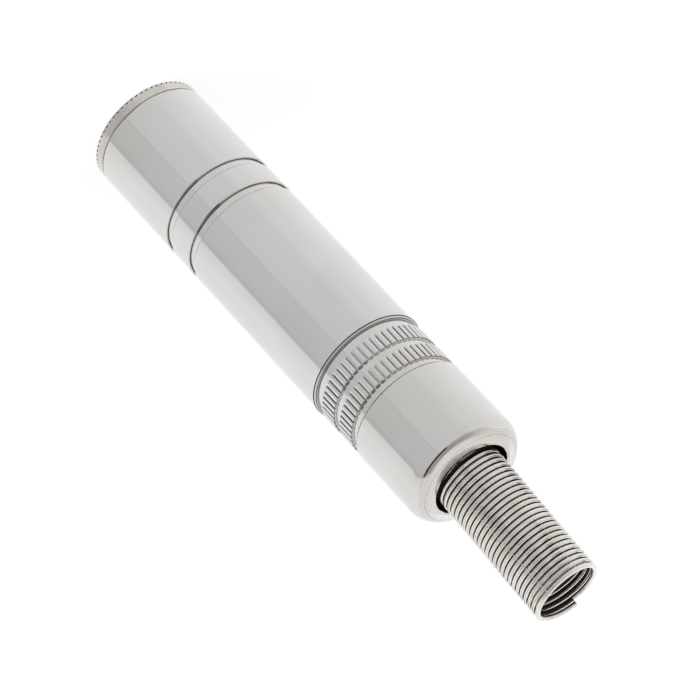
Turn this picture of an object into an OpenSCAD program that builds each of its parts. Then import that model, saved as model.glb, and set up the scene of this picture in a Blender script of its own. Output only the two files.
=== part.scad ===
// Inline stereo jack socket, 6.35 mm: a turned shell with a screw-on tail cap and a loose coil strain relief.
// It stands on its mouth: the origin is the centre of the mouth face, and +Z runs towards the cable end.
// Threads are drawn as plain cylinders at their core size.

/* [Shell] */
// Outer diameter of the barrel and of the tail cap
body_d = 15; // [14.5:0.1:18]
// Length of the barrel behind the mouth nut
barrel_l = 43.5; // [41:0.1:50]
// Thickness of the barrel's wall
barrel_wall = 1.4; // [1.2:0.05:1.5]
// Thickness of the barrel's front wall
front_wall = 2; // [1.5:0.1:2.4]
// Distance from the mouth nut to the first groove
groove_1_at = 13.47; // [8:0.01:15]
// Distance from the mouth nut to the second groove
groove_2_at = 18.09; // [17:0.01:30]
// Width of both grooves
groove_w = 1.14; // [0.6:0.01:1.6]
// Depth of both grooves
groove_depth = 0.3; // [0.2:0.01:0.5]
// Depth of the small bevel on the outer edges
edge_break = 0.12; // [0.05:0.01:0.2]
// Length of that bevel along the axis
edge_run = 0.2; // [0.1:0.01:0.3]
// Depth of the wider bevel at the barrel's rear end
end_break = 0.24; // [0.1:0.01:0.3]
// Length of that bevel along the axis
end_run = 0.32; // [0.2:0.01:0.5]
// Depth of the finer bevel on the grooves' edges
groove_break = 0.05; // [0.02:0.01:0.1]

/* [Mouth nut] */
// Thickness of the reeded mouth nut
nut_l = 1.5; // [1:0.1:2]
// How far the nut's plain band lies under the barrel's surface
nut_recess = 0.1; // [0:0.05:0.5]
// Depth of the bevel on the nut's rear edge
nut_break = 0.07; // [0.03:0.01:0.15]
// Length of that bevel along the axis
nut_run = 0.12; // [0.05:0.01:0.2]
// Thickness of the nut's reeded rim
nut_rim_t = 0.25; // [0.2:0.05:0.8]
// How far the reeds' tips lie under the plain band
nut_rim_step = 0.02; // [0.01:0.01:0.1]
// Depth of the valleys between the reeds
nut_reed_depth = 0.2; // [0.1:0.01:0.4]
// Width of each reed at its tip
nut_reed_land = 0.46; // [0.2:0.01:0.55]
// Number of reeds round the mouth nut
nut_reeds = 64; // [40:1:80]

/* [Tail cap] */
// Depth of the recessed neck under the barrel's surface
neck_recess = 0.45; // [0.35:0.05:0.6]
// Length of the recessed neck
neck_l = 7.82; // [7:0.02:9]
// How far the tips of the knurl's teeth lie under the barrel's surface
knurl_recess = 0.1; // [0:0.05:0.3]
// Length of each knurl band
knurl_l = 2.25; // [1.5:0.05:2.4]
// Plain stretch of the neck in front of the first knurl band
knurl_first = 1.12; // [0.7:0.02:1.2]
// Plain stretch between the two knurl bands
knurl_space = 1.1; // [0.8:0.05:1.3]
// Width of each tooth's rounded top
knurl_land = 0.6; // [0.3:0.01:0.7]
// How far a tooth's top falls from its middle to its edges
knurl_crown = 0.08; // [0.02:0.01:0.1]
// How far the valleys between the teeth would reach under the neck's surface
knurl_sink = 0.1; // [0.05:0.01:0.2]
// Number of teeth round each knurl band
knurl_teeth = 55; // [40:1:70]
// Length of the smooth cap behind the neck
cap_l = 11.8; // [11:0.1:16]
// Radius of the cap's rounded shoulder
cap_round_r = 2.2; // [1:0.05:2.3]
// Thickness of the cap's wall round its cavity
cap_wall = 1.3; // [1.1:0.05:1.4]
// Thickness of the cap between the neck and the cavity
cap_front_wall = 1.1; // [0.8:0.05:1.4]
// Thickness of the cap's rear wall
cap_rear_wall = 1.5; // [1.2:0.05:1.8]
// Hole for the strain spring in the rear wall
cap_hole_d = 9.75; // [9.6:0.05:10.1]
// Bevel round that hole
hole_break = 0.12; // [0.05:0.01:0.2]
// Wall of the threaded spigot at its core
spigot_wall = 0.82; // [0.6:0.02:0.85]
// Wall of the barrel outside its thread
thread_wall = 1; // [0.9:0.05:1.1]
// Height of the thread form that stands on the spigot's core
thread_depth = 0.3; // [0.2:0.01:0.35]

/* [Strain spring] */
// Wire diameter
wire_d = 0.6; // [0.5:0.01:0.64]
// Outer diameter of the close coil
spring_d = 8.72; // [8.5:0.01:8.8]
// Rise of the coil for each turn
coil_pitch = 0.7; // [0.68:0.01:0.9]
// Full turns of the close coil
coil_turns = 28; // [20:1:34]
// How far the loose spring leans in its hole, in degrees
spring_lean = 8.4; // [0:0.1:8.6]
// Direction of the lean round the axis, in degrees from +X
lean_towards = 71.4; // [0:0.1:360]
// Thickness of the ring that keeps the flare in the cap
retainer_t = 0.8; // [0.6:0.05:1]
// How far that ring reaches in from the cavity's wall
retainer_rim = 1.3; // [1.2:0.05:1.6]
// How far the ring sits into its groove in the cap
retainer_grip = 0.2; // [0.1:0.01:0.3]

/* [Contacts] */
// Bore for the plug
plug_bore_d = 6.4; // [6.38:0.01:6.6]
// Depth of the plug's space behind the mouth face
plug_depth = 33.5; // [32:0.1:34]
// Thread diameter of the bush
bush_d = 9.3; // [9.1:0.05:9.4]
// How far the bush's end lies behind the mouth face
bush_recess = 0.25; // [0:0.05:0.5]
// Thickness of the bush's flange
flange_t = 1.5; // [1:0.05:2]
// Diameter of the bush's tail in the contact carrier
bush_tail_d = 8.8; // [8.4:0.05:8.8]
// Length of the bush's tail
bush_tail_l = 6.5; // [5:0.1:8]
// Bevel at the plug's entry
entry_bevel = 0.5; // [0.3:0.05:0.8]
// Thickness of the split washer in front of the flange
washer_t = 0.5; // [0.3:0.05:0.7]
// Width of that washer's rim
washer_rim = 0.5; // [0.4:0.05:1]
// Gap where that washer is split
washer_split = 0.4; // [0.2:0.05:0.8]
// Thickness of the contact carrier behind the plug's space
carrier_back = 4.5; // [4.2:0.1:5]
// Depth at which the ring leaf touches the plug
ring_touch_at = 20; // [18:0.1:22]
// Depth at which the tip leaf touches the plug
tip_touch_at = 26.5; // [25:0.1:28]
// How far the touching bends reach into the plug's path with no plug in
touch_in = 0.6; // [0.3:0.05:0.7]
// Inner radius of the touching bend itself
touch_bend_r = 0.7; // [0.6:0.05:0.9]
// Slope of a leaf on both sides of its bend, in degrees
bend_slope = 50; // [40:1:60]
// Length of the lip in front of the bend
lip_l = 1.6; // [1.2:0.1:2]
// How far the lip's end stays under the leaf's rear end
lip_drop = 0.4; // [0.2:0.05:0.6]
// Width of the leaves and of their solder tags
leaf_w = 2.4; // [2:0.05:2.5]
// Thickness of the leaves
leaf_t = 0.35; // [0.25:0.01:0.4]
// Depth of the leaf slots in the carrier
slot_depth = 1.7; // [1.6:0.05:1.8]
// Distance from a leaf's rear end to the carrier's
leaf_end_space = 0.5; // [0.3:0.05:0.7]
// Thickness of the solder tags
tag_t = 0.5; // [0.4:0.02:0.55]
// How far the solder tags stand out behind the carrier
tag_out = 8; // [6:0.1:9]
// Hole for a wire in each tag
tag_hole_d = 1.3; // [1:0.05:1.4]
// Shank diameter of the contact rivets
rivet_d = 1.2; // [1:0.05:1.3]
// Distance from a rivet's axis to its leaf's rear end
rivet_edge = 1; // [0.9:0.05:1.3]
// How deep a rivet's shank sits in the carrier
rivet_depth = 2.2; // [1.6:0.1:2.4]
// Head diameter of the contact rivets
rivet_head_d = 2; // [1.8:0.05:2.2]
// Head height of the contact rivets
rivet_head_h = 0.4; // [0.3:0.02:0.45]

/* [Sleeve tag] */
// Width of the sleeve tag's strip
strip_w = 3; // [2.4:0.1:3.1]
// Thickness of the sleeve tag
strip_t = 0.5; // [0.4:0.02:0.5]
// Straight stretch of the strip behind the carrier
strip_out = 1; // [0.5:0.1:1.2]
// Length over which the strip then steps in to the clamp
strip_step_l = 3; // [2:0.1:4]
// Inner radius of the cable clamp
clamp_r = 2.9; // [2.5:0.05:3.2]
// Length of the cable clamp
clamp_l = 6; // [4:0.1:7]
// Length of strip between the tags' ends and the clamp
clamp_space = 4; // [3:0.1:4.5]
// Angle that the clamp wraps round the cable
clamp_wrap = 230; // [180:5:260]
// Wall of the insulating liner round the tags
liner_wall = 0.45; // [0.3:0.02:0.46]
// Length of the insulating liner
liner_l = 9.2; // [6:0.1:9.5]

/* [Clearances] */
// Space between the tightened cap and the end of the barrel
cap_gap = 0.08; // [0.05:0.01:0.3]
// Space between the contact carrier and the cap's spigot
spigot_space = 0.7; // [0.5:0.05:1]
// Space round the bush in the nut, the wall and the washer
bush_gap = 0.1; // [0.05:0.01:0.12]
// Space round the bush's flange in the barrel
flange_space = 0.2; // [0.1:0.05:0.3]
// Space round the contact carrier in the barrel
carrier_space = 0.4; // [0.3:0.05:0.45]
// Space round the plug in the contact carrier
plug_room = 0.4; // [0.3:0.05:0.5]
// Space round the threads' crests
thread_gap = 0.08; // [0.05:0.01:0.1]
// Space round pieces that are pushed together
seat_gap = 0.05; // [0.03:0.01:0.06]
// Space on each side of a leaf in its slot
slot_gap = 0.3; // [0.2:0.02:0.4]
// Space between a leaf and the tag under it
leaf_gap = 0.03; // [0.02:0.01:0.06]
// Play of a leaf under its rivet's head
rivet_play = 0.15; // [0.12:0.01:0.2]
// Space round the insulating liner in the cap
liner_gap = 0.15; // [0.1:0.01:0.2]
// Space between the strip's step and the insulating liner
liner_space = 0.3; // [0.2:0.05:0.6]
// Space round the spring's flared turn in the cavity
flare_space = 0.7; // [0.6:0.05:0.8]
// Play of the spring's flare on the retaining ring
flare_gap = 0.1; // [0.05:0.01:0.3]

/* [Hidden] */
$fn = 96;
wire_fn = 40;
eps = 0.01;
// How far a cutting solid stands out past what it cuts
past = 1;

// Places along the axis, from the mouth face
wall_back = nut_l + front_wall;
flange_start = wall_back + washer_t;
flange_end = flange_start + flange_t;
carrier_start = flange_end + strip_t;
carrier_end = plug_depth + carrier_back;
bush_end = flange_end + bush_tail_l;
barrel_end = nut_l + barrel_l;
neck_start = barrel_end + cap_gap;
cap_start = neck_start + neck_l;
cap_end = cap_start + cap_l;
rear_wall_start = cap_end - cap_rear_wall;
spigot_start = carrier_end + spigot_space;
thread_start = spigot_start - cap_gap;
cavity_start = cap_start + cap_front_wall;
tag_end = carrier_end + tag_out;
clamp_start = tag_end + clamp_space;
clamp_end = clamp_start + clamp_l;
strip_step_at = carrier_end + strip_out;
liner_start = strip_step_at + strip_step_l + liner_space;

// Diameters, from the shell inwards
barrel_bore_d = body_d - 2 * barrel_wall;
thread_d = body_d - 2 * thread_wall;
nut_d = body_d - 2 * nut_recess;
neck_d = body_d - 2 * neck_recess;
knurl_d = body_d - 2 * knurl_recess;
spigot_d = thread_d - 2 * (thread_gap + thread_depth);
cap_bore_d = spigot_d - 2 * spigot_wall;
cap_cavity_d = body_d - 2 * cap_wall;
retainer_bore_d = cap_cavity_d - 2 * retainer_rim;
flare_d = cap_cavity_d - 2 * flare_space;
liner_d = cap_bore_d - 2 * liner_gap;
flange_d = barrel_bore_d - 2 * flange_space;
carrier_d = barrel_bore_d - 2 * carrier_space;
carrier_bore_d = plug_bore_d + 2 * plug_room;
bush_hole_d = bush_d + 2 * bush_gap;

// Distances of the contacts from the axis
slot_floor = carrier_d / 2 - slot_depth;
leaf_floor = slot_floor + tag_t + leaf_gap;
touch_r = plug_bore_d / 2 - touch_in;
strip_floor = bush_tail_d / 2 + seat_gap;

// A leaf lifts about its rear end
pivot_at = carrier_end - leaf_end_space;
rivet_at = pivot_at - rivet_edge;

// Spring: half turns climb half a pitch each, first round the flare, then narrowing, then the close coil
coil_r = (spring_d - wire_d) / 2;
flare_r = (flare_d - wire_d) / 2;
hole_mid = cap_end - cap_rear_wall / 2;
flare_halves = 2;
taper_halves = 2;
coil_halves = 2 * coil_turns;
mid_r = (flare_r + coil_r) / 2;
bead_over = 0.004;
bead_angle = 0.2;
under_wall = cap_rear_wall / 2 + seat_gap + wire_d / 2;
drop_at_mid = (under_wall + mid_r * sin(spring_lean)) / cos(spring_lean) + 1.5 * coil_pitch;
drop_at_flare = (under_wall + flare_r * sin(spring_lean)) / cos(spring_lean) + coil_pitch;
spring_drop = max(drop_at_mid, drop_at_flare);
flare_low = hole_mid - spring_drop * cos(spring_lean) - flare_r * sin(spring_lean) - wire_d / 2;
retainer_end = flare_low - flare_gap;
retainer_start = retainer_end - retainer_t;

nickel = "#c8c7c3";
beige_nickel = "#b9b1a2";
brass = "#b79a5a";
bronze = "#b98a58";
tinned = "#c4c4c0";
black_plastic = "#232326";
liner_amber = "#c9b48c";
steel = "#9c9b98";

// A turned piece from its half section, given as [radius, height] points
module turned(points) {
    rotate_extrude() polygon(points);
}

// A tube between two heights
module tube(outer_d, inner_d, from, to) {
    turned([[inner_d / 2, from], [outer_d / 2, from], [outer_d / 2, to], [inner_d / 2, to]]);
}

// A drilled hole along Z
module bore(d, from, to) {
    translate([0, 0, from]) cylinder(d = d, h = to - from);
}

// Outline of a straight-toothed wheel: each tooth has a top as wide as land, which falls by crown from its middle to
// its edges in that many steps, and a pointed valley after it
function on_circle(d, a) = [d / 2 * cos(a), d / 2 * sin(a)];
function toothed_outline(tip_d, root_d, teeth, land, crown, steps) = [
    for (i = [0 : teeth - 1], k = [0 : steps + 1])
        let (a = 360 * i / teeth, across = 2 * k / steps - 1)
            k > steps
                ? on_circle(root_d, a + 180 / teeth)
                : on_circle(tip_d - 2 * crown * pow(across, 2), a + across * asin(land / tip_d))
];

// Outline of a strip of even thickness on the left of a path
function unit(v) = v / norm(v);
function left_of(v) = [-v[1], v[0]];
function side_before(p, i) = left_of(unit(i > 0 ? p[i] - p[i - 1] : p[1] - p[0]));
function side_after(p, i) = i < len(p) - 1 ? left_of(unit(p[i + 1] - p[i])) : side_before(p, i);
function shifted(p, i, t) =
    let (a = side_before(p, i), b = side_after(p, i)) p[i] + t * (a + b) / (1 + a * b);
function strip_outline(p, t) = concat(p, [for (i = [len(p) - 1 : -1 : 0]) shifted(p, i, t)]);

// A strip bent along a path of [radius, height] points on the +X side, with its thickness outwards
module bent_strip(path, t, w) {
    rotate([90, 0, 0]) linear_extrude(w, center = true) polygon(strip_outline(path, t));
}

// A hole through a strip on the +X side
module cross_hole(d, at, from, to) {
    translate([from, 0, at]) rotate([0, 90, 0]) cylinder(d = d, h = to - from);
}

// Everything of the ring contact lies on the +X side, and of the tip contact on the -X side
module on_tip_side() {
    rotate([0, 0, 180]) children();
}

// The sleeve tag's strip lies on the -Y side
module on_strip_side() {
    rotate([0, 0, -90]) children();
}

// A square groove whose upper edges open at the same slope as the outer bevels
module groove(at) {
    floor_r = body_d / 2 - groove_depth;
    bevel_r = body_d / 2 - groove_break;
    flare = (groove_break + past) * edge_run / edge_break;
    turned([
        [floor_r, at], [bevel_r, at], [body_d / 2 + past, at - flare],
        [body_d / 2 + past, at + groove_w + flare], [bevel_r, at + groove_w], [floor_r, at + groove_w]
    ]);
}

module barrel() {
    r = body_d / 2;
    color(nickel) difference() {
        turned([
            [0, nut_l], [r - edge_break, nut_l], [r, nut_l + edge_run],
            [r, barrel_end - end_run], [r - end_break, barrel_end], [0, barrel_end]
        ]);
        groove(nut_l + groove_1_at);
        groove(nut_l + groove_2_at);
        bore(bush_hole_d, nut_l - past, wall_back + past);
        bore(barrel_bore_d, wall_back, barrel_end);
        bore(thread_d, thread_start, barrel_end + past);
    }
}

module mouth_nut() {
    r = nut_d / 2;
    reed_d = nut_d - 2 * nut_rim_step;
    color(beige_nickel) difference() {
        union() {
            turned([
                [0, nut_rim_t], [r, nut_rim_t], [r, nut_l - nut_run], [r - nut_break, nut_l], [0, nut_l]
            ]);
            linear_extrude((nut_rim_t + nut_l) / 2)
                polygon(toothed_outline(reed_d, nut_d - 2 * nut_reed_depth, nut_reeds, nut_reed_land, 0, 1));
        }
        bore(bush_hole_d, -past, nut_l + past);
    }
}

module lock_washer() {
    color(steel) difference() {
        tube(bush_hole_d + 2 * washer_rim, bush_hole_d, wall_back, flange_start);
        translate([0, -washer_split / 2, wall_back - past]) cube([body_d, washer_split, washer_t + 2 * past]);
    }
}

module sleeve_bush() {
    bore_r = plug_bore_d / 2;
    color(brass) turned([
        [bore_r + entry_bevel, bush_recess], [bush_d / 2, bush_recess], [bush_d / 2, flange_start],
        [flange_d / 2, flange_start], [flange_d / 2, flange_end], [bush_tail_d / 2, flange_end],
        [bush_tail_d / 2, bush_end], [bore_r, bush_end], [bore_r, bush_recess + entry_bevel]
    ]);
}

// The slot of one leaf, with the window that lets its bend reach the plug
module leaf_slot(touch_at) {
    w = leaf_w + 2 * slot_gap;
    front = touch_at - lip_l - touch_bend_r - slot_gap;
    translate([slot_floor, -w / 2, front]) cube([carrier_d, w, carrier_end]);
    window_l = lip_l + 2 * touch_bend_r + slot_gap + leaf_floor - touch_r;
    translate([0, -w / 2, front]) cube([slot_floor + eps, w, window_l]);
    cross_hole(rivet_d + 2 * seat_gap, rivet_at, slot_floor - rivet_depth - seat_gap, slot_floor + past);
}

module contact_carrier() {
    color(black_plastic) difference() {
        tube(carrier_d, 0, carrier_start, carrier_end);
        bore(bush_tail_d + 2 * seat_gap, carrier_start - past, bush_end + seat_gap);
        bore(carrier_bore_d, carrier_start, plug_depth);
        leaf_slot(ring_touch_at);
        on_tip_side() leaf_slot(tip_touch_at);
        on_strip_side() translate([strip_floor - seat_gap, -strip_w / 2 - seat_gap, carrier_start - past])
            cube([carrier_d, strip_w + 2 * seat_gap, carrier_end]);
    }
}

// A contact leaf: flat on its tag at the rear, bent in to the plug, with a lip turned out in front
module leaf(touch_at) {
    bend_c = touch_r + touch_bend_r;
    bend_in = touch_bend_r * sin(bend_slope);
    bend_edge = bend_c - touch_bend_r * cos(bend_slope);
    rise_l = (leaf_floor - bend_edge) / tan(bend_slope);
    path = concat(
        [[leaf_floor, pivot_at], [leaf_floor, touch_at + bend_in + rise_l]],
        [for (a = [bend_slope : -bend_slope / 3 : -bend_slope])
            [bend_c - touch_bend_r * cos(a), touch_at + touch_bend_r * sin(a)]],
        [[leaf_floor - lip_drop, touch_at - bend_in - lip_l]]
    );
    color(bronze) difference() {
        bent_strip(path, leaf_t, leaf_w);
        cross_hole(rivet_d + 2 * seat_gap, rivet_at, slot_floor, carrier_d / 2);
    }
}

module ring_leaf() {
    leaf(ring_touch_at);
}

module tip_leaf() {
    on_tip_side() leaf(tip_touch_at);
}

// A solder tag under its leaf, with a rounded end and a hole for the wire
module tag() {
    tag_start = plug_depth + seat_gap;
    eye_at = tag_end - leaf_w / 2;
    color(tinned) difference() {
        union() {
            translate([slot_floor, -leaf_w / 2, tag_start]) cube([tag_t, leaf_w, eye_at - tag_start]);
            cross_hole(leaf_w, eye_at, slot_floor, slot_floor + tag_t);
        }
        cross_hole(tag_hole_d, eye_at, 0, body_d);
        cross_hole(rivet_d + 2 * seat_gap, rivet_at, 0, body_d);
    }
}

module ring_tag() {
    tag();
}

module tip_tag() {
    on_tip_side() tag();
}

module rivet() {
    head_at = leaf_floor + leaf_t + rivet_play;
    cross_hole(rivet_d, rivet_at, slot_floor - rivet_depth, head_at + eps);
    cross_hole(rivet_head_d, rivet_at, head_at, head_at + rivet_head_h);
}

module contact_rivets() {
    color(brass) {
        rivet();
        on_tip_side() rivet();
    }
}

// The sleeve tag: a ring on the bush's tail, a strip along the carrier and a clamp round the cable
module sleeve_tag() {
    color(tinned) difference() {
        union() {
            tube(flange_d, bush_tail_d + 2 * seat_gap, flange_end, carrier_start);
            on_strip_side() bent_strip([
                [clamp_r, clamp_end], [clamp_r, strip_step_at + strip_step_l],
                [strip_floor, strip_step_at], [strip_floor, flange_end]
            ], strip_t, strip_w);
            rotate([0, 0, -90 - clamp_wrap / 2]) translate([0, 0, clamp_start])
                rotate_extrude(angle = clamp_wrap) translate([clamp_r, 0]) square([strip_t, clamp_l]);
        }
        on_strip_side() cross_hole(tag_hole_d, tag_end, 0, body_d);
    }
}

module insulating_liner() {
    color(liner_amber) tube(liner_d, liner_d - 2 * liner_wall, liner_start, liner_start + liner_l);
}

module knurl_band(at) {
    translate([0, 0, at]) linear_extrude(knurl_l)
        polygon(toothed_outline(knurl_d, neck_d - 2 * knurl_sink, knurl_teeth, knurl_land, knurl_crown, 4));
}

module tail_cap() {
    r = body_d / 2;
    round_c = [r - cap_round_r, cap_end - cap_round_r];
    color(nickel) difference() {
        union() {
            bore(spigot_d, spigot_start, neck_start + eps);
            bore(neck_d, neck_start, cap_start + eps);
            knurl_band(neck_start + knurl_first);
            knurl_band(neck_start + knurl_first + knurl_l + knurl_space);
            rotate_extrude() {
                polygon([
                    [0, cap_start], [r - edge_break, cap_start], [r, cap_start + edge_run],
                    [r, round_c[1]], round_c, [round_c[0], cap_end], [0, cap_end]
                ]);
                intersection() {
                    translate(round_c) circle(cap_round_r);
                    translate(round_c) square(cap_round_r);
                }
            }
        }
        bore(cap_bore_d, spigot_start - past, cavity_start + past);
        bore(cap_cavity_d, cavity_start, rear_wall_start);
        bore(cap_cavity_d + 2 * retainer_grip, retainer_start, retainer_end);
        bore(cap_hole_d, rear_wall_start - past, cap_end + past);
        turned([
            [0, cap_end - hole_break], [cap_hole_d / 2, cap_end - hole_break],
            [cap_hole_d / 2 + hole_break + past, cap_end + past], [0, cap_end + past]
        ]);
    }
}

module spring_retainer() {
    outer_d = cap_cavity_d + 2 * retainer_grip - 2 * seat_gap;
    color(steel) tube(outer_d, retainer_bore_d, retainer_start + seat_gap, retainer_end);
}

// Part of a turn of wire round Z, from +X, that rises half a pitch in each half turn
module climbing_wire(r, angle) {
    rise = coil_pitch / 4;
    rotate([0, atan(rise / r), 0]) rotate([0, 0, bead_angle]) rotate_extrude(angle = angle - 2 * bead_angle)
        translate([norm([r, rise]), 0]) circle(d = wire_d, $fn = wire_fn);
}

// Half turn number k, which starts at radius r_1 with a bead that joins it to the one before
module half_turn(k, r_1, r_2, angle = 180) {
    translate([0, 0, k * coil_pitch / 2]) rotate([0, 0, 180 * k]) {
        translate([r_1, 0, 0]) sphere(d = wire_d + bead_over, $fn = wire_fn);
        translate([(r_1 - r_2) / 2, 0, coil_pitch / 4]) climbing_wire((r_1 + r_2) / 2, angle);
    }
}

function radius_at(k) =
    k < flare_halves ? flare_r
    : k > flare_halves + taper_halves ? coil_r
    : flare_r + (coil_r - flare_r) * (k - flare_halves) / taper_halves;

module strain_spring() {
    halves = flare_halves + taper_halves + coil_halves;
    color(nickel) translate([0, 0, hole_mid])
        rotate([0, 0, lean_towards]) rotate([0, spring_lean, 0]) rotate([0, 0, -lean_towards])
            translate([0, 0, -spring_drop]) {
                for (k = [0 : halves - 1]) half_turn(k, radius_at(k), radius_at(k + 1));
                half_turn(halves, coil_r, coil_r, 90);
            }
}

barrel();
mouth_nut();
lock_washer();
sleeve_bush();
contact_carrier();
ring_leaf();
tip_leaf();
ring_tag();
tip_tag();
contact_rivets();
sleeve_tag();
insulating_liner();
tail_cap();
spring_retainer();
strain_spring();
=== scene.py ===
# %% [markdown]
# # Dressing an inline stereo jack socket
# The frame already holds every solid of the socket at its true size, so this lesson only gives it its looks:
# a camera, a finish for each metal and plastic, the cap's screw thread and a plain white studio.
# Everything stands where the frame says, in metres, mouth down on the floor.

# %% Load the frame and keep its box
import math
import bmesh
import bpy
from mathutils import Matrix, Vector


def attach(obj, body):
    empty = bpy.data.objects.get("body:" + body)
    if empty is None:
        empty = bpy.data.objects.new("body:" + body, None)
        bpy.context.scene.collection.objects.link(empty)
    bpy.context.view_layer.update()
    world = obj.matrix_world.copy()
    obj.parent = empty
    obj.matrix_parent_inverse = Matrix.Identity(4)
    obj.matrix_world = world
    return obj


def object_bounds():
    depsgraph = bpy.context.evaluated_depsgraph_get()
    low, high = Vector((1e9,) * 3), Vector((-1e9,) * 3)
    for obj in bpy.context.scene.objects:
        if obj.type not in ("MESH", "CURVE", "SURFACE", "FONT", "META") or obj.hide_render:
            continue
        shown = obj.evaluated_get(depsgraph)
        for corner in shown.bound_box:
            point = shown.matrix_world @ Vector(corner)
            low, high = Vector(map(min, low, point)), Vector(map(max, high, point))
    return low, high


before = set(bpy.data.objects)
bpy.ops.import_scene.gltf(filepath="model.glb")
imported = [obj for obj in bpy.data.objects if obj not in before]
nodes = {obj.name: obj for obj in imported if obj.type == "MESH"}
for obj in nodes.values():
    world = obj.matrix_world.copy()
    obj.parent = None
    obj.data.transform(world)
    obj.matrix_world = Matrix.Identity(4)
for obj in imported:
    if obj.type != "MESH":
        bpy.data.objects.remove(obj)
cad_low, cad_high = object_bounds()
MM = 0.001
print("nodes:", ", ".join(sorted(nodes)))
print("size in mm:", [round(side / MM, 2) for side in cad_high - cad_low])

# %% [markdown]
# ## The camera
# The photograph was taken from the tail side with a long lens, and the socket lay on a table. Here it stands on
# its mouth, so the same view is a camera above the tail, 31 degrees over the horizon, rolled round its own line
# of sight until the axis runs from the upper left to the lower right. The place could be found by trial; these
# values come from fitting the edges of the grooves and bands, and the long lens keeps them nearly parallel.

# %% Place the camera
CAMERA_PLACE = Vector((0.134, -423.92, 300.43)) * MM
CAMERA_ELEVATION = math.radians(31.414)
CAMERA_ROLL = math.radians(137.06)
SENSOR_WIDTH = 36.0
LENS = 223.85
NEAREST = 0.01
FARTHEST = 10.0

camera_data = bpy.data.cameras.new("photo_camera")
camera_data.sensor_width = SENSOR_WIDTH
camera_data.lens = LENS
camera_data.clip_start = NEAREST
camera_data.clip_end = FARTHEST
camera = bpy.data.objects.new("photo_camera", camera_data)
tilt = Matrix.Rotation(math.pi / 2 - CAMERA_ELEVATION, 4, "X")
roll = Matrix.Rotation(CAMERA_ROLL, 4, "Z")
camera.matrix_world = Matrix.Translation(CAMERA_PLACE) @ tilt @ roll
bpy.context.scene.collection.objects.link(camera)
bpy.context.scene.camera = camera
print("camera stands", round(CAMERA_PLACE.length, 3), "m from the mouth")

# %% [markdown]
# ## Shader maths as plain expressions
# A finish is a recipe of numbers that change over a surface. Wiring each sum by hand is slow to read, so this
# small class wraps an output socket: plus, minus, times and the like add Math nodes, and one method makes any
# other node from its settings and its inputs. Colours and vectors go through nodes of their own, because a Math
# node would turn a colour grey.

# %% A socket that can be calculated with
class Signal:
    """An output socket of a node tree, with arithmetic."""

    def __init__(self, tree, socket):
        self.tree = tree
        self.socket = socket

    def node(self, kind, settings, sockets, out=0):
        """Adds a node, sets it up, feeds its sockets and gives one of its outputs."""
        made = self.tree.nodes.new(kind)
        for name, value in settings.items():
            if name == "stops":
                set_stops(made.color_ramp, value)
            else:
                setattr(made, name, value)
        for key, value in sockets.items():
            if isinstance(value, Signal):
                self.tree.links.new(value.socket, made.inputs[key])
            else:
                made.inputs[key].default_value = value
        return Signal(self.tree, made.outputs[out])

    def math(self, operation, first, second=0.0):
        return self.node("ShaderNodeMath", {"operation": operation}, {0: first, 1: second})

    def __add__(self, other):
        return self.math("ADD", self, other)

    def __radd__(self, other):
        return self.math("ADD", other, self)

    def __sub__(self, other):
        return self.math("SUBTRACT", self, other)

    def __rsub__(self, other):
        return self.math("SUBTRACT", other, self)

    def __mul__(self, other):
        return self.math("MULTIPLY", self, other)

    def __rmul__(self, other):
        return self.math("MULTIPLY", other, self)

    def __truediv__(self, other):
        return self.math("DIVIDE", self, other)

    def __rtruediv__(self, other):
        return self.math("DIVIDE", other, self)

    def fraction(self):
        """What is left of a value over its whole part."""
        return self.math("FRACT", self)

    def part(self, axis):
        """One component of a vector."""
        return self.node("ShaderNodeSeparateXYZ", {}, {0: self}, out="XYZ".index(axis))

    def stretched(self, x, y, z):
        """A vector scaled along each axis, to squeeze or stretch a pattern."""
        return self.node("ShaderNodeVectorMath", {"operation": "MULTIPLY"}, {0: self, 1: (x, y, z)})

    def noise(self, scale, detail=3.0):
        """Soft noise between 0 and 1 at this place."""
        return self.node("ShaderNodeTexNoise", {}, {"Vector": self, "Scale": scale, "Detail": detail})

    def blended(self, low, high):
        """A colour between two colours, with this value as the share of the second."""
        settings = {"data_type": "RGBA", "clamp_factor": True}
        return self.node("ShaderNodeMix", settings, {0: self, 6: low, 7: high}, out=2)

    def ramp(self, stops):
        """A colour looked up along a ramp of (place, colour) stops."""
        return self.node("ShaderNodeValToRGB", {"stops": stops}, {0: self})

    def step(self, start, end):
        """A soft step that is 0 at the start and 1 at the end, whichever of them is larger."""
        settings = {"interpolation_type": "SMOOTHSTEP"}
        return self.node("ShaderNodeMapRange", settings, {0: self, 1: start, 2: end})

    def band(self, low, high, soft):
        """1 between two values and 0 outside them, with soft edges."""
        return self.step(low - soft, low) * self.step(high + soft, high)

    def radius(self):
        """Distance of this place from the socket's axis."""
        flat = self.stretched(1.0, 1.0, 0.0)
        return flat.node("ShaderNodeVectorMath", {"operation": "LENGTH"}, {0: flat}, out=1)


def set_stops(color_ramp, stops):
    """Fills a colour ramp with (place, colour) stops."""
    while len(color_ramp.elements) > 1:
        color_ramp.elements.remove(color_ramp.elements[0])
    color_ramp.elements[0].position = stops[0][0]
    color_ramp.elements[0].color = (*stops[0][1], 1.0)
    for place, colour in stops[1:]:
        color_ramp.elements.new(place).color = (*colour, 1.0)


print("shader maths ready")

# %% Start a finish and feed its shader
PLASTIC_SHEEN = 0.5


def opaque(colour):
    """A colour with full alpha, as sockets want it."""
    return (*colour, 1.0)


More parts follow.
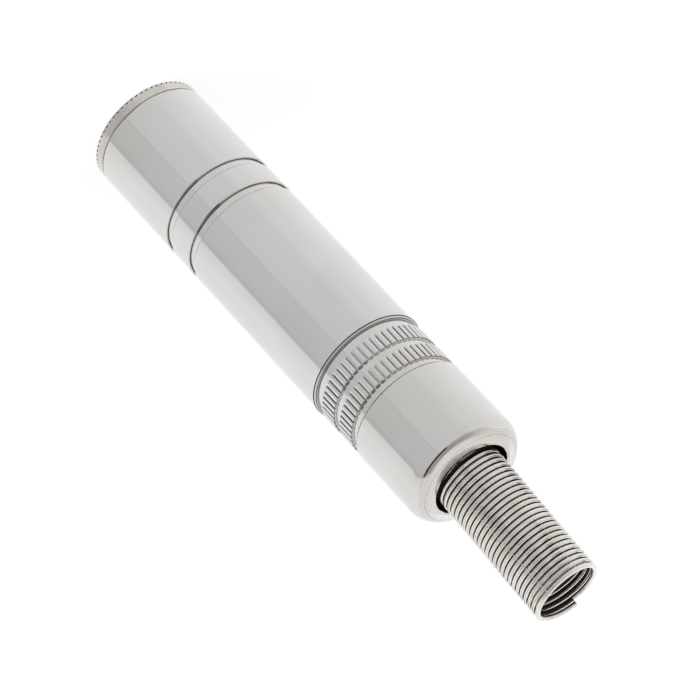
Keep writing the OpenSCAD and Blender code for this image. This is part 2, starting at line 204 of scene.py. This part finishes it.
def new_finish(name, sheen):
    """A material with a Principled shader; gives the material, its shader and the place on the object."""
    material = bpy.data.materials.new(name)
    material.use_nodes = True
    tree = material.node_tree
    shader = tree.nodes["Principled BSDF"]
    shader.inputs["Specular IOR Level"].default_value = sheen
    place = tree.nodes.new("ShaderNodeTexCoord")
    return material, shader, Signal(tree, place.outputs["Object"])


def feed(shader, socket, signal):
    """Links a changing value to a socket of the shader."""
    signal.tree.links.new(signal.socket, shader.inputs[socket])


def feed_bump(shader, height, distance):
    """Turns a height into a bump on the shader's normal."""
    sockets = {"Height": height, "Distance": distance, "Strength": 1.0}
    feed(shader, "Normal", height.node("ShaderNodeBump", {}, sockets))


print("finish helpers ready")

# %% [markdown]
# ## Where a place is
# The painted shade on a turned piece follows its shape, and so do the rings on the cap. The masks below ask how far
# a place is from the axis, how high it is and which way it faces. That could be painted on an unwrapped map, but
# object coordinates and the normal give it exactly, at any size of picture. Sizes are in millimetres, as they are
# on a drawing.

# %% Radius, height and facing
def sizes_at(place):
    """Distance from the socket's axis and height over the floor, in millimetres."""
    in_mm = place.stretched(1 / MM, 1 / MM, 1 / MM)
    return in_mm.radius(), in_mm.part("Z")


def normal_at(place):
    """The way that the surface faces, in the object's own axes."""
    return Signal(place.tree, place.socket.node.outputs["Normal"])


def facing_round(place):
    """How far the surface at this place faces along the way round the axis, from -1 to 1."""
    normal = normal_at(place)
    round_way = place.part("X") * normal.part("Y") - place.part("Y") * normal.part("X")
    return round_way / place.radius()


def angle_of(x, y):
    """The angle of a direction across the axis, in radians."""
    return y.math("ARCTAN2", y, x)


print("place helpers ready")

# %% [markdown]
# ## Bright nickel plate
# The barrel and the cap are turned brass with bright nickel on it. A mirror would be too clean: plate over
# turned metal keeps fine rings from the lathe, and its gloss and tint drift a little from handling. The rings are
# noise squeezed along the axis, because a lathe mark runs round the piece, and they drive a very small bump.
# Each finish also takes a mask of painted shade, standing in for the shade in corners, grooves and gaps. Where the
# mask is full the metal is painted dark and rough.

# %% The nickel recipe
# The dark colour below is both painted shade and the real tarnish of the plain metals.
GRIME_AND_SHADE = opaque((0.014, 0.011, 0.009))
GRIME_AND_SHADE_SHEEN = 0.0
GRIME_AND_SHADE_ROUGHNESS = 0.6
NICKEL_NEUTRAL = opaque((0.797, 0.794, 0.79))
NICKEL_WARM = opaque((0.775, 0.758, 0.735))
NICKEL_ROUGHNESS = 0.012
DRIFT_SCALE = 90.0
DRIFT_RANGE = (0.36, 0.68)
LATHE_SCALE = 9000.0
LATHE_SQUEEZE = 0.02
LATHE_DEPTH = 0.000002
LATHE_ROUGHNESS = 0.01
HANDLING_SCALE = 400.0
HANDLING_ROUGHNESS = 0.025


def dress_metal(shader, colour, rough, grime_and_shade):
    """Feeds a metal's colour and gloss, painted dark and rough where the mask of painted shade and grime is full.
    """
    feed(shader, "Base Color", grime_and_shade.blended(colour, GRIME_AND_SHADE))
    feed(shader, "Roughness", rough + GRIME_AND_SHADE_ROUGHNESS * grime_and_shade)
    feed(shader, "Metallic", 1.0 - grime_and_shade)


def nickel_plate(name, grime_and_shade_at):
    """Bright nickel; the mask function gives, from a place, how far painted shade, and on the cap its turned rings,
    darken the metal there.
    """
    material, shader, place = new_finish(name, GRIME_AND_SHADE_SHEEN)
    colour = place.noise(DRIFT_SCALE, 2.0).step(*DRIFT_RANGE).blended(NICKEL_NEUTRAL, NICKEL_WARM)
    rings = place.stretched(LATHE_SQUEEZE, LATHE_SQUEEZE, 1.0).noise(LATHE_SCALE, 2.0)
    handling = place.noise(HANDLING_SCALE, 4.0)
    rough = NICKEL_ROUGHNESS + HANDLING_ROUGHNESS * handling + LATHE_ROUGHNESS * rings
    dress_metal(shader, colour, rough, grime_and_shade_at(place))
    feed_bump(shader, rings, LATHE_DEPTH)
    return material


print("nickel recipe ready")

# %% [markdown]
# ## Painted shade on the barrel
# The two grooves are square cuts with a small bevel on one edge, and the rear end has a bevel too. Painted shade
# lies as a thin dark line at the foot of each groove's wall, in blotches on the wall, and along the edges at the
# rear end with a paler strip between them. Thin strips of geometry could show the lines, but a mask by radius and
# height lies on the solid as it is and keeps its outline.

# %% Painted shade lines on the barrel
# The levels below set how dark the painted shade is in the grooves and at the rear end.
LINE_SOFT = 0.015
BLOTCH_SCALE = 1500.0
BLOTCH_LEAST = 0.3
GROOVE_WALLS_AT = (14.97, 19.59)
GROOVE_WALL_HALF = 0.01
GROOVE_WALL_FADE = (7.38, 7.30)
GROOVE_WALL_SHADE = 0.8
GROOVE_FOOT_REACH = 0.05
GROOVE_FOOT_FADE = (7.26, 7.24)
GROOVE_BEVEL_RUN = 0.083
GROOVE_BEVEL_FADE = (7.43, 7.45)
GROOVE_BEVEL_SHADE = 0.05
REAR_LINE = (44.65, 44.75)
REAR_STRIP_SHADE = 0.35
REAR_BEVEL_AT = 44.92
REAR_BEVEL_FADE = (7.24, 7.26)
REAR_BEVEL_SHADE = 0.5


def painted_shade_in_groove(radius, height, blotches, wall_at):
    """Painted shade on a groove: its upright wall in blotches, the foot of it in full, and its bevel hardly."""
    wall = height.band(wall_at - GROOVE_WALL_HALF, wall_at + GROOVE_WALL_HALF, LINE_SOFT)
    foot = height.band(wall_at - GROOVE_WALL_HALF, wall_at + GROOVE_FOOT_REACH, LINE_SOFT)
    bevel = height.band(wall_at - GROOVE_BEVEL_RUN, wall_at, LINE_SOFT)
    wall = GROOVE_WALL_SHADE * wall * radius.step(*GROOVE_WALL_FADE) * blotches
    bevel = GROOVE_BEVEL_SHADE * bevel * radius.step(*GROOVE_BEVEL_FADE)
    return wall + foot * radius.step(*GROOVE_FOOT_FADE) + bevel


def painted_shade_on_barrel(place):
    """Painted shade in both grooves, and on the two edges of the bevel at the rear end with a strip between them.
    """
    radius, height = sizes_at(place)
    blotches = BLOTCH_LEAST + (1 - BLOTCH_LEAST) * place.noise(BLOTCH_SCALE, 2.0)
    grooves = sum(painted_shade_in_groove(radius, height, blotches, at) for at in GROOVE_WALLS_AT)
    line_from, line_to = REAR_LINE
    line = height.band(line_from, line_to, LINE_SOFT)
    strip = REAR_STRIP_SHADE * height.step(line_to, line_to + LINE_SOFT)
    bevel = REAR_BEVEL_SHADE * radius.step(*REAR_BEVEL_FADE) * height.step(REAR_BEVEL_AT, REAR_BEVEL_AT + LINE_SOFT)
    return (grooves + line + strip + bevel).step(0.0, 1.0)


BARREL_NICKEL = nickel_plate("bright_nickel_barrel", painted_shade_on_barrel)
print("made the barrel's nickel")

# %% [markdown]
# ## Painted shade on the cap
# The valleys of the cap's two knurl bands are painted dark as shade, one flank of each tooth much more than the
# other, and the teeth's rear ends are painted dark as a reflection. The way that a face looks round the axis tells
# the two flanks apart. The rear face was left as turned, with fine rings round the hole, and the hole and the
# cavity behind it are painted dark as shade.

# %% Knurl, rear face and hole of the cap
# The levels below set the painted shade on the knurl, in the cavity and in the hole, and the painted dark
# reflection on the teeth's rear ends.
KNURL_BANDS = [(46.2, 48.46), (49.55, 51.81)]
KNURL_BAND_SOFT = 0.02
KNURL_SOFT = 0.03
KNURL_FLANK = (7.21, 7.35)
CLOCKWISE_FLANK_FACING = (-0.5, -0.75)
CLOCKWISE_FLANK_SHADE = 0.8
ANTICLOCKWISE_FLANK_FACING = (0.5, 0.75)
ANTICLOCKWISE_FLANK_SHADE = 0.2
KNURL_VALLEY_FADE = (7.34, 7.16)
KNURL_VALLEY_SHADE = 0.2
TOOTH_END = (7.18, 7.3)
TOOTH_END_FACING = (0.3, 0.7)
TOOTH_END_DARKENING = 0.45
TURNED_SCALE = 4.5
TURNED_RANGE = (0.48, 0.66)
TURNED_FACING = (0.55, 0.8)
TURNED_FROM = (59.0, 60.0)
TURNED_DULL = 0.5
CAVITY_FADE = (6.28, 6.25)
CAVITY = (46.0, 63.4)
CAVITY_SOFT = 0.05
HOLE_FADE = (4.96, 4.93)


def painted_shade_on_knurl(place, radius, height):
    """Painted shade in the valleys of both bands, most on the flanks that face clockwise, and a painted dark
    reflection on the teeth's rear ends.
    """
    in_bands = sum(height.band(low, high, KNURL_BAND_SOFT) for low, high in KNURL_BANDS)
    facing = facing_round(place)
    clockwise_flank = CLOCKWISE_FLANK_SHADE * facing.step(*CLOCKWISE_FLANK_FACING)
    anticlockwise_flank = ANTICLOCKWISE_FLANK_SHADE * facing.step(*ANTICLOCKWISE_FLANK_FACING)
    flanks = (clockwise_flank + anticlockwise_flank) * radius.band(*KNURL_FLANK, KNURL_SOFT)
    valleys = KNURL_VALLEY_SHADE * radius.step(*KNURL_VALLEY_FADE)
    ends = normal_at(place).part("Z").step(*TOOTH_END_FACING) * radius.band(*TOOTH_END, KNURL_SOFT)
    return (flanks + valleys + TOOTH_END_DARKENING * ends) * in_bands


def painted_shade_and_rings_on_cap(place):
    """Painted shade on the knurl, in the cavity and in the hole, and the turned rings on the rear face."""
    radius, height = sizes_at(place)
    rings = radius.noise(TURNED_SCALE, 1.0).step(*TURNED_RANGE)
    rear_face = normal_at(place).part("Z").step(*TURNED_FACING) * height.step(*TURNED_FROM)
    cavity = radius.step(*CAVITY_FADE) * height.band(*CAVITY, CAVITY_SOFT)
    hole = radius.step(*HOLE_FADE)
    return (painted_shade_on_knurl(place, radius, height) + TURNED_DULL * rings * rear_face + cavity + hole).step(0.0, 1.0)


CAP_NICKEL = nickel_plate("bright_nickel_cap", painted_shade_and_rings_on_cap)
print("made the cap's nickel")

# %% [markdown]
# ## The other metals
# The mouth nut is duller and warmer than the barrel, and the insert is plain brass, bronze, tinned strip and
# plated steel. They could each have a recipe, but they differ only in colour, gloss and grain, so they share one.
# Its colour drifts between a light and a dark tone, and a fine grain roughens it.

# %% One recipe for the other metals
TONE_SCALE = 300.0
TONE_SHARE = 0.6
TONE_RANGE = (0.3, 0.7)
GRAIN_ROUGHNESS = 0.08
TARNISH_SCALE = 900.0
TARNISH = 0.12


def tarnish(place):
    """A light, uneven dullness all over, for the metals that nothing rubs."""
    return TARNISH * place.noise(TARNISH_SCALE, 4.0)


def plain_metal(name, light, dark, gloss, grain, grain_depth, grime_and_shade_at=tarnish):
    """A metal whose colour drifts from light to dark, with a grain of that scale per metre."""
    material, shader, place = new_finish(name, GRIME_AND_SHADE_SHEEN)
    fine = place.noise(grain, 3.0)
    tone = (TONE_SHARE * place.noise(TONE_SCALE, 3.0) + (1 - TONE_SHARE) * fine).step(*TONE_RANGE)
    grime_and_shade = grime_and_shade_at(place)
    dress_metal(shader, tone.blended(opaque(light), opaque(dark)), gloss + GRAIN_ROUGHNESS * fine, grime_and_shade)
    feed_bump(shader, fine, grain_depth)
    return material


BRASS = plain_metal("turned_brass", (0.78, 0.62, 0.34), (0.66, 0.50, 0.25), 0.18, 5000.0, 0.000004)
BRONZE = plain_metal("phosphor_bronze", (0.74, 0.52, 0.34), (0.62, 0.42, 0.26), 0.20, 5000.0, 0.000004)
TINNED = plain_metal("tinned_strip", (0.76, 0.76, 0.74), (0.64, 0.64, 0.62), 0.24, 3000.0, 0.000006)
ZINC_STEEL = plain_metal("zinc_plated_steel", (0.64, 0.64, 0.64), (0.52, 0.52, 0.53), 0.28, 4000.0, 0.000005)
print("made four metals for the insert")

# %% [markdown]
# ## Satin nickel on the mouth nut
# The nut's rim is reeded for a grip, and the notches between the reeds and its rear edge are painted dark as shade.
# The notches are solid already, so the mask only darkens them: it counts reeds round the axis and keeps to the rim.

# %% Painted shade in the nut's reeds
# The levels below set the painted shade in the notches and on the rear edge.
REEDS = 64
NOTCH_SHARE = (0.24, 0.18)
NOTCH_HEIGHT = (0.28, 0.26)
NOTCH_RADIUS = (7.14, 7.17)
NUT_REAR = (1.37, 1.40)
NUT_REAR_SHADE = 0.7


def painted_shade_on_nut(place):
    """Painted shade in the notches between the reeds, and on the rear edge."""
    radius, height = sizes_at(place)
    on_rim = height.step(*NOTCH_HEIGHT) * radius.step(*NOTCH_RADIUS)
    reeds = angle_of(place.part("X"), place.part("Y")) * (REEDS / (2 * math.pi))
    from_middle = reeds.fraction() - 0.5
    notches = from_middle.math("ABSOLUTE", from_middle).step(*NOTCH_SHARE) * on_rim
    return notches + NUT_REAR_SHADE * height.step(*NUT_REAR)


SATIN_NICKEL = plain_metal(
    "satin_nickel", (0.88, 0.865, 0.81), (0.62, 0.585, 0.515), 0.22, 5000.0, 0.000008, painted_shade_on_nut)
print("made the nut's satin nickel")

# %% [markdown]
# ## Spring wire
# The strain relief is a coil of plated wire that leans in the cap's hole. The sides of the wire that face the next
# turns, the inside of the coil and the turns down in the hole are painted dark as shade, leaving lit lines inside
# near the open end and the last turn's top, and a thin painted dark line along the wire stands in for a reflection.
# Each place on the wire is found from the coil's own leaning axis: how far out it lies from the middle of the wire,
# and how far up. Normals could tell the same, but they jump from facet to facet, and distances do not.

# %% Find the coil's axis and its end
COIL_PIVOT = Vector((0.0, 0.0, 63.95))
COIL_LEAN = math.radians(8.4)
COIL_TOWARDS = Matrix.Rotation(math.radians(71.4), 3, "Z")
COIL_FRAME = COIL_TOWARDS @ Matrix.Rotation(COIL_LEAN, 3, "Y") @ COIL_TOWARDS.transposed()


def vertex_on_coil(vertex):
    """A vertex as (x, y, along) in the leaning coil's own axes, in millimetres."""
    return COIL_FRAME.transposed() @ (vertex.co / MM - COIL_PIVOT)


coil_top = max(map(vertex_on_coil, nodes["strain_spring"].data.vertices), key=lambda at: at.z)
COIL_TOP = coil_top.z
COIL_END_ANGLE = math.atan2(coil_top.y, coil_top.x)
print("coil ends", round(COIL_TOP, 2), "mm over the hole, at", round(math.degrees(COIL_END_ANGLE)), "degrees")

# %% Painted shade on the sides of the wire
# The levels below set the painted shade on the wire and the painted dark line that stands in for a reflection.
COIL_RADIUS = 4.06
COIL_PITCH = 0.7
WIRE_RADIUS = 0.3
STREAK_SCALE = 420.0
STREAK_STRETCH = 0.15
STREAK_RANGE = (0.45, 0.62)
SUNK_FROM = (64.72, 64.62)
IN_HOLE_FROM = (64.42, 64.32)
SIDES_PLAIN = (0.65, 0.33)
SIDES_IN_STREAK = (0.14, 0.16)
SIDES_SUNK = (0.25, 0.51)
REFLECTION_LINE_DARKENING = 0.38
REFLECTION_LINE_IN_STREAK = 0.6
REFLECTION_LINE_UPWARD = (0.32, 0.46)
REFLECTION_LINE_SOFT = 0.10
REFLECTION_LINE_OUTWARD = (0.3, 0.5)
LIT_DEPTH = 3.0
INNER_RADIUS = (4.09, 4.05)
INNER_UPWARD = (0.71, 0.80)
LAST_TURN_TOP = (-0.05, 0.12)


def coil_axes(place):
    """The place as x, y and the way along in the leaning coil's own axes, in millimetres."""
    in_mm = place.stretched(1 / MM, 1 / MM, 1 / MM)
    from_pivot = in_mm.node("ShaderNodeVectorMath", {"operation": "SUBTRACT"}, {0: in_mm, 1: COIL_PIVOT})
    dot = {"operation": "DOT_PRODUCT"}
    return [place.node("ShaderNodeVectorMath", dot, {0: from_pivot, 1: axis}, out=1) for axis in COIL_FRAME.col]


def painted_shade_and_reflection_on_coil(place):
    """Painted shade on the wire's sides and on what is in the hole, and a painted dark line standing in for a
    reflection, but not the lit lines inside and the last turn's top.
    """
    x, y, along = coil_axes(place)
    height = sizes_at(place)[1]
    square = x * x + y * y
    radius = square.math("SQRT", square)
    turns_to_end = (COIL_END_ANGLE - angle_of(x, y)) / (2 * math.pi)
    over_last = along - (COIL_TOP - WIRE_RADIUS) + COIL_PITCH * turns_to_end.fraction()
    outward = (radius - COIL_RADIUS) / WIRE_RADIUS
    upward = ((over_last / COIL_PITCH + 0.5).fraction() - 0.5) * (COIL_PITCH / WIRE_RADIUS)

    streaks = place.stretched(1.0, 1.0, STREAK_STRETCH).noise(STREAK_SCALE, 2.0).step(*STREAK_RANGE)
    sunk = height.step(*SUNK_FROM)
    limits = zip(SIDES_PLAIN, SIDES_IN_STREAK, SIDES_SUNK)
    # Painted shade on the sides that face the next turns and on the inside of the coil.
    sides = outward.step(*[plain + more * streaks + deep * sunk for plain, more, deep in limits])
    # A painted dark line along the wire, standing in for a reflection.
    reflection_line = upward.band(*REFLECTION_LINE_UPWARD, REFLECTION_LINE_SOFT) * outward.step(*REFLECTION_LINE_OUTWARD)
    reflection_line = (REFLECTION_LINE_DARKENING + REFLECTION_LINE_IN_STREAK * streaks) * reflection_line
    lit = along.step(COIL_TOP - LIT_DEPTH, COIL_TOP - LIT_DEPTH / 2)
    inner_line = lit * radius.step(*INNER_RADIUS) * upward.step(*INNER_UPWARD)
    last_top = over_last.step(*LAST_TURN_TOP)
    # Everything down in the hole gets painted shade in full.
    grime_and_shade = (sides + reflection_line) * (1.0 - inner_line) * (1.0 - last_top) + height.step(*IN_HOLE_FROM)
    return grime_and_shade.math("MINIMUM", grime_and_shade, 1.0)


SPRING_WIRE = plain_metal(
    "plated_spring_wire", (0.95, 0.935, 0.905), (0.75, 0.70, 0.64), 0.03, 4000.0, 0.000002, painted_shade_and_reflection_on_coil)
print("made the spring wire")

# %% [markdown]
# ## Moulded phenolic and the amber liner
# The contact carrier is black moulded phenolic with a dull skin, and the liner round the solder tags is an amber
# insulating tube. Both are plastics, so they get a colour with a little mottling and a soft, uneven gloss.

# %% One recipe for the plastics
MOTTLE_SCALE = 700.0
SPECK_ROUGHNESS = 0.2


def moulded_plastic(name, light, dark, gloss, speck, speck_depth):
    """A plastic whose colour is mottled from dark to light, with specks of that scale per metre."""
    material, shader, place = new_finish(name, PLASTIC_SHEEN)
    mottle = place.noise(MOTTLE_SCALE, 4.0)
    feed(shader, "Base Color", mottle.blended(opaque(dark), opaque(light)))
    specks = place.noise(speck, 4.0)
    feed(shader, "Roughness", gloss + SPECK_ROUGHNESS * specks)
    feed_bump(shader, specks, speck_depth)
    return material


PHENOLIC = moulded_plastic("black_phenolic", (0.030, 0.029, 0.028), (0.014, 0.013, 0.013), 0.38, 5000.0, 0.00001)
AMBER = moulded_plastic("amber_liner", (0.62, 0.46, 0.24), (0.52, 0.36, 0.16), 0.30, 2500.0, 0.000008)
print("made two plastics")

# %% [markdown]
# ## A finish for every solid
# Each solid of the frame comes with a plain material of its own. Its slots are emptied and get the finish of the
# real piece, so the mesh itself is left as it is.

# %% Give each solid its finish
FINISH_OF = {
    "barrel": BARREL_NICKEL,
    "tail_cap": CAP_NICKEL,
    "mouth_nut": SATIN_NICKEL,
    "strain_spring": SPRING_WIRE,
    "sleeve_bush": BRASS,
    "contact_rivets": BRASS,
    "ring_leaf": BRONZE,
    "tip_leaf": BRONZE,
    "ring_tag": TINNED,
    "tip_tag": TINNED,
    "sleeve_tag": TINNED,
    "lock_washer": ZINC_STEEL,
    "spring_retainer": ZINC_STEEL,
    "contact_carrier": PHENOLIC,
    "insulating_liner": AMBER,
}
for name, finish in FINISH_OF.items():
    slots = nodes[name].data.materials
    slots.clear()
    slots.append(finish)
print("finished", len(FINISH_OF), "solids")

# %% [markdown]
# ## The screw thread
# The cap screws into the barrel, and its spigot shows when it is unscrewed. The solid there is a plain cylinder.
# A bump could draw a thread on it, but a thread also shows in the outline, so the ridge is laid on it here: one
# helix with the screw's own pitch, whose height runs out to nothing at both ends, as a die leaves it. It rides
# with the cap.

# %% Nickel for the thread
# The levels below set the painted shade on the thread's lower flanks.
THREAD_SHADE_FADE = (6.3, 6.15)
THREAD_SHADE = 0.5


def painted_shade_on_thread(place):
    """Painted shade on the lower flanks of the ridge."""
    radius = sizes_at(place)[0]
    return THREAD_SHADE * radius.step(*THREAD_SHADE_FADE)


THREAD_NICKEL = nickel_plate("bright_nickel_thread", painted_shade_on_thread)
print("made the thread's nickel")

# %% Cut the cap's thread
THREAD_PITCH = 0.75
THREAD_FROM = 38.95
THREAD_TURNS = 8
THREAD_STEPS = 96
THREAD_FOOT = 6.10
THREAD_CREST = 6.42
THREAD_FOOT_HALF = 0.30
THREAD_CREST_HALF = 0.05
THREAD_RUN_OUT = 0.3


def ridge_corners(turns):
    """The four corners of the ridge after that many turns, in millimetres."""
    share = min(1.0, turns / THREAD_RUN_OUT, (THREAD_TURNS - turns) / THREAD_RUN_OUT)
    crest = THREAD_FOOT + (THREAD_CREST - THREAD_FOOT) * share
    middle = THREAD_FROM + THREAD_PITCH * turns
    outline = [
        (THREAD_FOOT, -THREAD_FOOT_HALF), (crest, -THREAD_CREST_HALF),
        (crest, THREAD_CREST_HALF), (THREAD_FOOT, THREAD_FOOT_HALF),
    ]
    way = Matrix.Rotation(2 * math.pi * turns, 3, "Z")
    return [way @ Vector((radius, 0.0, middle + rise)) for radius, rise in outline]


def cut_thread():
    """Lays the ridge on the spigot as one mesh that rides with the cap, and gives its number of faces."""
    made = bmesh.new()
    rows = []
    for step in range(THREAD_TURNS * THREAD_STEPS + 1):
        rows.append([made.verts.new(corner * MM) for corner in ridge_corners(step / THREAD_STEPS)])
    for first, second in zip(rows, rows[1:]):
        for corner in range(4):
            after = (corner + 1) % 4
            made.faces.new((first[corner], second[corner], second[after], first[after]))
    made.faces.new(rows[0])
    made.faces.new(reversed(rows[-1]))
    bmesh.ops.recalc_face_normals(made, faces=made.faces)
    mesh = bpy.data.meshes.new("cap_thread")
    made.to_mesh(mesh)
    made.free()
    mesh.materials.append(THREAD_NICKEL)
    thread = bpy.data.objects.new("cap_thread", mesh)
    bpy.context.scene.collection.objects.link(thread)
    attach(thread, "tail_cap")
    return len(mesh.polygons)


print("thread faces:", cut_thread())

# %% [markdown]
# ## A white studio
# Polished metal shows its surroundings, so the studio is half of the finish. The camera sees plain white. What
# the metal sees is a white tent. Cloth panels could be modelled, but a colour for each direction does the same and
# casts no shadow. The wall has one bright side, a grey side and a paler far side, which draw the long soft bands
# down the barrel, and the tent's foot is dark on the lens's side. Level with the lens the tent has a slit: the
# room behind it is black on one side of the lens and grey on the other. A wall that stands up from a ledge mirrors
# just that height, so the slit draws the black line in each groove and on the shoulder. Over the slit hangs a
# brownish valance, and then the tent is white.

# %% Levels round the tent
TENT_WALL = [
    (-180, 1.10), (-150, 0.94), (-120, 0.90), (-100, 0.86), (-80, 0.80), (-60, 0.77), (-50, 0.725), (-40, 0.70),
    (-20, 0.69), (11, 0.665), (13, 0.585), (17, 0.617), (56, 0.59), (65, 0.545), (68, 0.79), (90, 0.885),
    (130, 0.913), (150, 0.93), (164, 0.99), (180, 1.10),
]
TENT_FOOT = [
    (-180, 1.0), (-110, 0.9), (-60, 0.6), (-20, 0.22), (20, 0.12), (60, 0.16), (70, 0.7), (110, 0.9), (180, 1.0),
]
TENT_SLIT = [
    (-180, 0.9), (-110, 0.85), (-60, 0.55), (-8, 0.42), (-3, 0.01), (63, 0.01), (68, 0.66), (110, 0.9), (180, 0.9),
]
TENT_VALANCE = [
    (-180, 0.9), (-110, 0.85), (-60, 0.45), (-5, 0.34), (60, 0.38), (70, 0.80), (110, 0.9), (180, 0.9),
]
TENT_TOP = 0.90
FOOT_HEAD = (-41, -49)
SLIT_FOOT = (25, 28)
SLIT_HEAD = (34, 37)
VALANCE_HEAD = (50, 64)
print("tent levels:", len(TENT_WALL) + len(TENT_FOOT) + len(TENT_SLIT) + len(TENT_VALANCE))

# %% Paint the tent that the metal reflects
WHITE = (1.0, 1.0, 1.0)
BROWNISH = (1.0, 0.965, 0.92)
HALF = 0.5
ROOM_FILL = 0.45


def grey(level):
    """A neutral colour of that level."""
    return opaque((level, level, level))


def around(angles, tint):
    """Ramp stops for levels round the tent, at half strength because a ramp ends at 1."""
    return [((angle + 180) / 360, tuple(level * HALF * part for part in tint)) for angle, level in angles]


def tent_colour(way):
    """The tent's colour in a direction, at half strength."""
    place = way.math("ARCTAN2", way.part("X"), 0.0 - way.part("Y")) / (2 * math.pi) + 0.5
    rise = way.math("ARCSINE", way.part("Z")) * math.degrees(1.0)
    colour = place.ramp(around(TENT_WALL, WHITE))
    for edge, levels in [(FOOT_HEAD, TENT_FOOT), (SLIT_FOOT, TENT_SLIT), (SLIT_HEAD, TENT_VALANCE)]:
        colour = rise.step(*edge).blended(colour, place.ramp(around(levels, BROWNISH)))
    return rise.step(*VALANCE_HEAD).blended(colour, grey(TENT_TOP * HALF))


def paint_tent():
    """Makes the world: white to the camera, the tent to the metal and an even grey to the rest."""
    world = bpy.data.worlds.new("white_tent")
    bpy.context.scene.world = world
    world.use_nodes = True
    tree = world.node_tree
    coordinates = tree.nodes.new("ShaderNodeTexCoord")
    path = tree.nodes.new("ShaderNodeLightPath")
    tent = tent_colour(Signal(tree, coordinates.outputs["Generated"]))
    fill = Signal(tree, path.outputs["Is Glossy Ray"]).blended(grey(ROOM_FILL), tent)
    colour = Signal(tree, path.outputs["Is Camera Ray"]).blended(fill, grey(HALF))
    background = tree.nodes["Background"]
    background.inputs["Strength"].default_value = 1 / HALF
    tree.links.new(colour.socket, background.inputs["Color"])


paint_tent()
print("tent painted as", bpy.context.scene.world.name)

# %% [markdown]
# ## The floor
# The table in the photograph is so bright that hardly a shadow is left on it. A sheet that is only lit would come
# out grey, so most of what the camera sees of it is its own glow, and the rest takes the soft shadow. The metal
# does not mirror the sheet, because the tent's foot already stands for the table.

# %% Lay the floor
FLOOR_HALF = 3.0
FLOOR_LEVEL = 0.9
FLOOR_ROUGHNESS = 0.9
FLOOR_GLOW = 0.85


def white_floor():
    """A white sheet that glows to the camera."""
    material = bpy.data.materials.new("white_floor")
    material.use_nodes = True
    tree = material.node_tree
    shader = tree.nodes["Principled BSDF"]
    shader.inputs["Base Color"].default_value = grey(FLOOR_LEVEL)
    shader.inputs["Roughness"].default_value = FLOOR_ROUGHNESS
    path = tree.nodes.new("ShaderNodeLightPath")
    seen = Signal(tree, path.outputs["Is Camera Ray"])
    glow = seen.node("ShaderNodeEmission", {}, {"Color": grey(1.0), "Strength": 1.0})
    lit = Signal(tree, shader.outputs["BSDF"])
    mixed = seen.node("ShaderNodeMixShader", {}, {0: seen * FLOOR_GLOW, 1: lit, 2: glow})
    tree.links.new(mixed.socket, tree.nodes["Material Output"].inputs["Surface"])
    return material


def lay_floor():
    """Lays the sheet under the socket."""
    mesh = bpy.data.meshes.new("floor")
    corners = [(-1, -1), (1, -1), (1, 1), (-1, 1)]
    mesh.from_pydata([(x * FLOOR_HALF, y * FLOOR_HALF, 0.0) for x, y in corners], [], [(0, 1, 2, 3)])
    mesh.materials.append(white_floor())
    floor = bpy.data.objects.new("floor", mesh)
    bpy.context.scene.collection.objects.link(floor)
    floor.visible_glossy = False


lay_floor()
print("floor is", 2 * FLOOR_HALF, "m wide")

# %% [markdown]
# ## Soft lamps
# Two large lamps light the dull pieces and give the floor its shadow. Small lamps would draw hard shadows, which
# the photograph does not have. The metal does not mirror them, because the tent already has its bright side.

# %% Hang the lamps
LAMPS = {
    "key_lamp": ((0.5, -0.5, 0.9), 0.6, 6.0),
    "fill_lamp": ((-0.7, -0.2, 0.5), 0.8, 3.0),
}


def soft_lamp(name, place, size, watts):
    """A square area lamp that looks at the middle of the socket."""
    data = bpy.data.lights.new(name, "AREA")
    data.size = size
    data.energy = watts
    lamp = bpy.data.objects.new(name, data)
    lamp.location = place
    middle = (cad_low + cad_high) / 2
    lamp.rotation_euler = (middle - Vector(place)).to_track_quat("-Z", "Y").to_euler()
    lamp.visible_glossy = False
    bpy.context.scene.collection.objects.link(lamp)


for name, (place, size, watts) in LAMPS.items():
    soft_lamp(name, place, size, watts)
bpy.context.scene.view_settings.view_transform = "Standard"
print("hung", len(LAMPS), "lamps")
